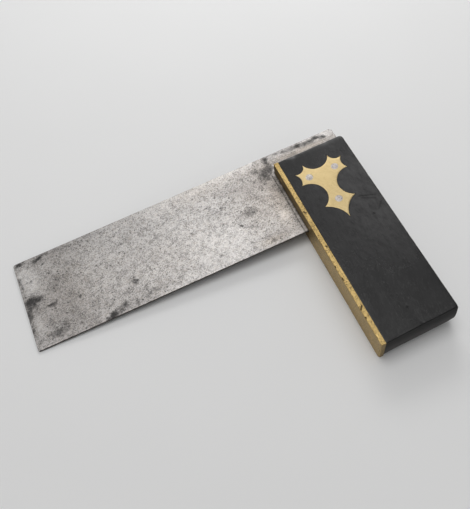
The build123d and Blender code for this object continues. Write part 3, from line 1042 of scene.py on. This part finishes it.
blade = {
    "arris": 0.17,
    "radii": (1.5, 1.0, 1.0, 0.3),  # heel, both corners of the tip, and the corner in the stock
    "step": 0.8,
    "spacing": 0.68,
    "wallRows": 3,
    "waver": 0.022,
    "waverPitch": 26.0,
    "waverSeed": 41,
    "waverStart": (2.0, 25.0),  # it begins this far from the stock and takes this length to be full
    "boreReach": 4.0,
    "nicks": [  # place, reach and pull along the edges
        ((152.4, -38, 0), (0.3, 0.5, 2), (-0.16, 0, 0)),
        ((152.4, -19, 0), (0.3, 0.6, 2), (-0.18, 0, 0)),
        ((152.4, -54.7, 0), (0.8, 0.8, 2), (-0.2, 0.15, 0)),
        ((110.9, 0, 0), (0.9, 0.35, 2), (0, -0.14, 0)),
        ((60, -54.7, 0), (0.8, 0.35, 2), (0, 0.14, 0)),
        ((-41.7, -54.7, 0), (0.8, 0.8, 2), (0.15, 0.1, 0)),
    ],
    # rows of the lists below: x, y, half length, half width, strength and any turn in degrees; a strength
    # below 0 lightens what other rows darken
    "stains": [
        (149.6, -53.2, 3.2, 1.7, 1, 10), (138.7, -52.2, 5, 1.6, 0.95, 21), (151.4, -43, 1, 2.2, 0.85),
        (150.9, -38.2, 1, 2.4, 0.75), (149, -29, 4.2, 2.8, 1), (144.6, -28.8, 4.4, 2.2, 0.66),
        (148.3, -25.3, 3.4, 3, 0.6), (151.2, -22, 1.8, 3.4, 0.7), (139.6, -22.5, 2.8, 0.8, 0.9, 10),
        (137.3, -21.3, 3.4, 2.4, 0.5), (151.3, -19.5, 1.2, 3.6, 0.7), (151.6, -12, 1, 2.4, 0.75),
        (150, -4, 2.2, 2.6, 0.55), (139.8, -5, 6, 3.6, 0.62), (134.7, -9.4, 4.6, 3, 0.42),
        (137.1, -47.9, 1, 0.9, 0.8), (145.7, -40.7, 0.9, 0.8, 0.75), (148.3, -40, 1.6, 0.6, 0.7, 20),
        (123.4, -20.1, 1.6, 0.8, 0.8, 20), (127.2, -5.2, 1.2, 1, 0.75), (93.5, -14.2, 2.5, 2.1, 0.75, 20),
        (103.2, -3.9, 3.2, 2.8, 0.82, 30), (110.6, -1.1, 4.2, 2.6, 1, 10), (97, -2.4, 1.7, 1.4, 0.7),
        (121, -52.6, 12, 1.6, 0.45), (1.2, -53.2, 1.9, 1.6, 0.75), (1, -50.4, 1.9, 2.2, 0.75),
        (1.2, -46, 1.8, 3.4, 0.8), (4, -39.6, 3, 3, 0.45), (5, -34, 1, 0.9, 0.75),
        (6.2, -43.8, 5.4, 4.2, 0.66, 20), (10.5, -48.6, 5, 2.2, 0.5, -30), (-6, -53.6, 2.6, 1, 0.55),
        (-10.5, -52.6, 2.4, 1.5, 0.7), (-14.5, -52.8, 1.8, 1.2, 0.5), (-18.8, -52.8, 2.6, 1.7, 0.95),
        (-23.5, -51.6, 2.6, 1.5, 0.7), (-27.5, -52, 2, 1.6, 0.7), (-31.3, -52.6, 2.6, 1.6, 0.9),
        (-35, -51.3, 2.2, 1.5, 0.85), (22.7, -24.6, 4.6, 4.2, 0.64, 20), (20, -10.1, 1.1, 1, 0.8),
        (30.4, -19.4, 1.2, 1, 0.82), (18.4, -3.4, 4.6, 2, 0.5), (46.8, -7.3, 1.1, 0.9, 0.85),
        (34, -34, 9, 6, 0.3), (15, -33, 8, 7, 0.3), (88, -4.5, 9, 2.2, 0.45),
    ],
    "underStains": [  # on the under side
        (140, -48, 6, 3, 0.8, 20), (148, -12, 3, 5, 0.75), (118, -20, 3, 2.4, 0.8, 40),
        (92, -50, 9, 2.2, 0.6), (66, -8, 4, 3, 0.7, 10), (52, -36, 11, 8, 0.35), (24, -46, 5, 4, 0.75),
        (6, -20, 3, 9, 0.55), (-22, -50, 12, 2.4, 0.8), (30, -14, 60, 22, 0.5), (33, -3, 6, 1.8, 0.6),
        (108, -40, 2, 1.8, 0.85), (80, -27, 1.4, 1.2, 0.85),
    ],
    "dull": [  # broad darker, duller areas
        (156, -27, 34, 40, 0.82), (118, -40, 30, 20, 0.1), (20, -28, 21, 19, 0.58),
        (5, -44, 12, 10, 0.45), (86, -36, 26, 16, 0.22), (-16, -50, 22, 7, 0.62),
        (-20, -48.2, 26, 2.6, 0.6), (112, 2, 48, 20, 0.68), (130, -14, 16, 15, 0.4),
        (90, -25, 26, 9, 0.22), (130, -53.5, 13, 3.5, 0.58), (112, -50.5, 14, 5, 0.25),
        (88, -53, 13, 3, 0.3), (2.5, -28, 5, 26, 0.5), (12, -3, 14, 4.5, 0.42), (22, -41, 12, 6, 0.28),
        (12, -39.5, 12, 4.5, 0.4), (10, -6, 12, 4, 0.3), (-18, -52, 24, 4, 0.3), (131, -20, 9, 22, 0.28),
        (131, -52, 7, 4, 0.4), (85, -5, 16, 5, 0.4), (70, -15, 8, 6, 0.2), (2, -32, 5, 26, 0.32),
        (3.5, -40, 5, 6, 0.5), (3, -38.5, 4, 4, 0.5), (3, -28, 3.5, 6, 0.35), (15, -6, 7, 3, 0.35),
        (132, -6, 6, 4, 0.3), (149, -43.5, 4, 7, -1.6), (127, -37, 4, 4, 0.25),
        (145.2, -38, 5.5, 7.5, -2.2), (147, -12.5, 3, 7, -1.2), (45, -52, 26, 3.5, -0.1),
        (129, -7, 12, 5, 0.32), (131, -21, 6, 11, 0.24), (125, -27, 6, 7, 0.18), (131, -52, 5, 3.5, 0.3),
        (123, -46, 7, 4, 0.2), (42, -46.5, 15, 5, 0.27), (52, -40.5, 6, 4, 0.22), (84, -46, 6, 4, 0.27),
        (20, -39.5, 5, 3.5, 0.25), (4, -39.5, 4, 3, 0.25), (3.5, -52.5, 4, 2.5, 0.3),
        (100, -39.5, 5, 4, 0.2), (80, -6, 8, 4, 0.2), (4.5, -16, 4, 10, -0.8), (24, -29, 7, 5, -0.5),
        (35, -17, 14, 6, -0.5),
    ],
    "underDull": [
        (140, -20, 40, 40, 0.7), (60, -30, 60, 40, 0.8), (12, -20, 50, 40, 0.85),
    ],
    "rubbed": [  # smooth bright areas
        (146.2, -45, 5, 4, 0.75), (145.2, -36.4, 4, 3.6, 0.75), (147.2, -13, 2.6, 6.5, 0.7),
        (143, -20.6, 2.4, 2, 0.5), (45, -6, 18, 5, 0.5), (40, -52, 24, 3, 0.3), (38, -16, 13, 5, 0.4),
    ],
    "tan": [  # tints of old varnish
        (5, -22, 6, 22, 0.7), (15, -25, 14, 24, 0.35), (40, -51, 26, 6, 0.3), (18.6, -3.2, 7, 2.4, 0.7),
        (-20, -48.6, 22, 2.4, 0.75), (70, -20, 40, 14, 0.12), (128, -30, 18, 20, 0.2),
    ],
    "underTan": 0.2,
    "fenceDirtAndShade": (0.6, 0.85),  # how fast the dirt, painted shade and painted reflection at the brass face fall off, and their strength there
    "fenceRange": (-3.0, -43.0),  # it lies beyond this x and this y
    "fenceLine": (1.9, 0.5, 0.75),  # x, half width and strength of a line beside it
    "lineEnd": -43.5,
    # painted shade on the blade's edge faces, standing in for the dark surroundings they reflect
    "edgeShade": 0.95,
    "heelCalm": 0.3,  # how far the speckling is calmed at the heel
    "heelFade": ((1.0, 4.0), (-42.0, 1.5)),  # limit and span along x and y
    "seeds": {"stains": 51, "underStains": 61, "dull": 71, "underDull": 75, "tan": 79, "rubbed": 83},
}


# patches: soft ellipses, their edges broken by two ripples, put together so that they never pass 1
def patches(points, name):
    coarse, fine = 5, 1.9  # wavelengths
    coarseX, coarseY, fineReach = 0.35, 0.25, 0.15
    seed = blade["seeds"][name]
    x, y = points[:, 0], points[:, 1]
    moveX = coarseX * ripple(x, y, coarse, seed), fineReach * ripple(x, y, fine, seed + 1)
    moveY = coarseY * ripple(x, y, coarse, seed + 2), fineReach * ripple(x, y, fine, seed + 3)
    x, y = x + moveX[0] + moveX[1], y + moveY[0] + moveY[1]
    clean = np.ones(len(points))
    for middleX, middleY, halfLong, halfWide, strength, *turn in blade[name]:
        angle = math.radians(sum(turn))
        cosine, sine = math.cos(angle), math.sin(angle)
        along = (x - middleX) * cosine + (y - middleY) * sine
        across = (y - middleY) * cosine - (x - middleX) * sine
        clean *= 1 - strength * np.exp(-((along / halfLong) ** 2 + (across / halfWide) ** 2))
    return 1 - clean


def makeBlade():
    loop = outlineLoop(boxCorners(bladeLow, bladeHigh), blade["radii"], [blade["arris"]] * 4, blade["step"])
    points, faces = sweptSolid(loop, -halfBlade, halfBlade, blade["wallRows"], blade["spacing"])
    start, span = blade["waverStart"]
    free = np.clip((points[:, 0] - start) / span, 0, 1)
    waver = ripple(points[:, 0], points[:, 1], blade["waverPitch"], blade["waverSeed"])
    points[:, 2] += free * blade["waver"] * waver
    piece = makePiece("steelBlade", carve(points, blade["nicks"]), faces)
    cutAway(piece, [rivetBores(blade["boreReach"])])
    spots = pointsOf(piece)
    x, y, z = spots.T
    upper = z > 0
    # beside the brass face the blade is darkened by dirt and by painted shade, with a painted reflection of
    # the dark brass face
    reach, dirtAndShade = blade["fenceDirtAndShade"]
    fromX, fromY = blade["fenceRange"]
    nearFence = np.exp(-np.clip(x, 0, None) / reach) * (x > fromX) * (y > fromY) * dirtAndShade
    lineX, lineHalf, lineStrength = blade["fenceLine"]
    line = np.exp(-((x - lineX) / lineHalf) ** 2) * (y > blade["lineEnd"]) * lineStrength
    # the edge faces are darkened all round as painted shade
    onEdge = blade["edgeShade"] * np.clip((halfBlade - np.abs(z)) / blade["arris"], 0, 1)
    # the stains and the painted shade beside the brass face and on the edges go into one attribute
    stain = np.where(upper, patches(spots, "stains"), patches(spots, "underStains"))
    stain = np.maximum.reduce([stain, nearFence, line, onEdge])
    dull = np.where(upper, patches(spots, "dull"), patches(spots, "underDull"))
    alongHeel, acrossHeel = blade["heelFade"]
    keepAttribute(piece, "stain", np.clip(stain, 0, 1))
    keepAttribute(piece, "dull", np.clip(dull, 0, 1))
    keepAttribute(piece, "calm", fade(x, *alongHeel) * fade(y, *acrossHeel) * blade["heelCalm"])
    keepAttribute(piece, "rubbed", np.where(upper, np.clip(patches(spots, "rubbed"), 0, 1), 0))
    keepAttribute(piece, "tan", np.where(upper, patches(spots, "tan"), blade["underTan"]))
    finishPiece(piece, "blade_steel", bladeSteel, "blade")


# Plates and rivets

# a plate is its outline swept up from the recess's floor, with an arris that runs out at the cusps
def makePlates():
    top = halfStock - plate["below"]
    floor = halfStock - plate["thick"]
    toCusp = np.linalg.norm(plateLine[:, None] - plateCusps, axis=2).min(axis=1)
    loop = mitredLoop(plateLine, plate["arris"] * np.clip(toCusp / plate["fade"], 0, 1))
    for name, side, node in (("cuspedPlateFront", 1, "front_plate"), ("cuspedPlateBack", -1, "back_plate")):
        low, high = sorted([side * floor, side * top])
        points, faces = sweptSolid(loop, low, high, plate["wallRows"], plate["spacing"], "small")
        x, y, z = points.T
        dish = lowered(x, y, *plate["dish"], plate["seed"] + side)
        z += np.where(np.abs(z) > top - plate["skin"], side * np.minimum(dish, 0), 0)
        piece = makePiece(name, points, faces)
        cutAway(piece, [rivetBores(halfStock, flared=True)])
        finishPiece(piece, "plate_brass", plateBrass, node)


# a rivet is turned about z: a slight dome, the head's rim and the flare to the shank, the same at both ends
def makeRivets():
    head, radius = rivet["head"], rivet["radius"]
    upper = [(head * share, halfStock - rivet["crown"] * share ** 2) for share in rivet["dome"]]
    upper += [(head, halfStock - rivet["rim"]), (radius, halfStock - rivet["flare"])]
    profile = [(r, -z) for r, z in upper] + upper[::-1]
    for number, (node, place) in enumerate(rivetPlaces.items()):
        seed = rivet["seed"] + number
        points, quads = turnedSolid(profile, place, rivet["sides"], "z", rivet["uneven"], seed)
        x, y, z = points.T
        hammered = np.abs(z) > halfStock - rivet["skin"]
        facet = lowered(x, y, *rivet["facet"], rivet["facetSeed"] + number)
        z += np.where(hammered, np.sign(z) * np.clip(facet, -rivet["facetDepth"], 0), 0)
        first, second = node.split("_")
        piece = makePiece(first + second.capitalize(), points, quads.tolist())
        finishPiece(piece, "rivet_steel", rivetSteel, node)


makeStock()
makeFacing()
makePins()
makeBlade()
makePlates()
makeRivets()


# Floor: the square lies tipped, on the stock's front lower edge and the blade's tip, so the floor rises
# towards the tip in the frame of the solids

floorLook = {
    "colour": (0.872, 0.872, 0.868, 1),
    "paler": 1.03,  # its faint clouds are this much lighter
    "clouds": (0.012, 2.0, 0.5),  # scale, detail and roughness of the noise
    "roughness": 0.9,
    "specular": 0.1,
    "radius": 2400.0,
    "cells": 48,
}


def makeFloor():
    rise = (-halfBlade + halfStock) / bladeHigh[0]
    # a square grid pressed into a disc: each side is drawn in by the root of 1 less half the other's square
    cells = floorLook["cells"]
    u, v = np.meshgrid(np.linspace(-1, 1, cells + 1), np.linspace(-1, 1, cells + 1))
    x = (floorLook["radius"] * u * np.sqrt(1 - v ** 2 / 2)).ravel()
    y = (floorLook["radius"] * v * np.sqrt(1 - u ** 2 / 2)).ravel()
    points = np.stack([x, y, -halfStock + rise * x], axis=1)
    corner = (np.arange(cells)[:, None] * (cells + 1) + np.arange(cells)).ravel()
    quads = np.stack([corner, corner + 1, corner + cells + 2, corner + cells + 1], axis=1)
    mesh = bpy.data.meshes.new("floor")
    mesh.from_pydata((points * mm).tolist(), [], quads.tolist())
    floor = bpy.data.objects.new("floor", mesh)
    scene.collection.objects.link(floor)
    material, tree, shader, place = startMaterial("paleFloor")
    paler = tuple(min(1, floorLook["paler"] * value) for value in floorLook["colour"])
    tone = mixColour(tree, cloud(tree, place, *floorLook["clouds"]), floorLook["colour"], paler)
    tree.links.new(tone, shader.inputs["Base Color"])
    shader.inputs["Roughness"].default_value = floorLook["roughness"]
    shader.inputs["Specular IOR Level"].default_value = floorLook["specular"]
    mesh.materials.append(material)
    print("floor done")


makeFloor()

# Light and camera

light = {
    "colour": (1.0, 1.0, 1.004, 1),
    "backdrop": 0.62,  # what the camera sees past the floor
    "glows": [  # axis, cosine from it where the glow begins and where it is full, and how strong it is there
        ((0.0, 0.0, 1.0), 0.78, 0.48, 0.32),  # grey walls all round
        ((0.0, 0.0, 1.0), 0.75, 0.95, 0.42),  # ceiling
        ((0.0, -0.26, 0.97), 0.70, 0.93, 0.27),  # ceiling towards the back
        ((-0.17, -0.95, 0.26), 0.70, 0.95, 0.24),  # pale wall at the back
    ],
    "boxes": {  # place, spot aimed at, width, height and watts; a box as high as wide is round
        "overhead": ((200.0, -548.0, 3000.0), (0, 0, 0), 1432.0, 1432.0, 21.2),
        "above": ((140.0, 700.0, 3000.0), (0, 0, 0), 1600.0, 1600.0, 5.6),
        "window": ((-354.0, -532.0, 860.0), (0, 0, 0), 520.0, 180.0, 0.10),
        "back": ((-160.0, -400.0, 320.0), (-60, -190, 0), 300.0, 160.0, 0.63),
    },
}


def makeLight():
    world = bpy.data.worlds.new("studio")
    world.use_nodes = True
    scene.world = world
    tree = world.node_tree
    ray = tree.nodes.new("ShaderNodeTexCoord").outputs["Generated"]
    room = 0.0
    for axis, begins, full, strength in light["glows"]:
        glow = ramp(tree, vectors(tree, "DOT_PRODUCT", ray, axis, 1), begins, full, 0.0, strength)
        room = plus(tree, glow, room)
    tree.nodes["Background"].inputs["Color"].default_value = light["colour"]
    seen = tree.nodes.new("ShaderNodeLightPath").outputs["Is Camera Ray"]
    tree.links.new(mixValue(tree, seen, room, light["backdrop"]), tree.nodes["Background"].inputs["Strength"])
    for name, (place, spot, width, height, watts) in light["boxes"].items():
        lamp = bpy.data.lights.new(name, "AREA")
        lamp.shape = "ELLIPSE" if width == height else "RECTANGLE"
        lamp.size = width * mm
        lamp.size_y = height * mm
        lamp.energy = watts
        box = bpy.data.objects.new(name, lamp)
        turn = (Vector(place) - Vector(spot)).to_track_quat("Z", "Y").to_matrix().to_4x4()
        box.matrix_world = Matrix.Translation(Vector(place) * mm) @ turn
        scene.collection.objects.link(box)


view = {
    "place": (72.015, 153.029, 295.431),
    "right": (-0.908819, 0.400245, -0.117692),
    "down": (0.406612, 0.786678, -0.464547),
    "ahead": (-0.093347, -0.470044, -0.877693),
    "focalPixels": 637.97,
    "framePixels": 509,  # the frame is 470 wide and 509 high
    "sensorHeight": 36.0,
    "clipStart": 0.01,  # metres
}


def makeCamera():
    lens = bpy.data.cameras.new("camera")
    lens.sensor_fit = "VERTICAL"
    lens.sensor_height = view["sensorHeight"]
    lens.lens = view["focalPixels"] / view["framePixels"] * view["sensorHeight"]
    lens.clip_start = view["clipStart"]
    camera = bpy.data.objects.new("camera", lens)
    turn = Matrix([view["right"], [-v for v in view["down"]], [-v for v in view["ahead"]]]).transposed()
    camera.matrix_world = Matrix.Translation(Vector(view["place"]) * mm) @ turn.to_4x4()
    scene.collection.objects.link(camera)
    scene.camera = camera


makeLight()
makeCamera()
scene.view_settings.view_transform = "Standard"
print("light and camera done")
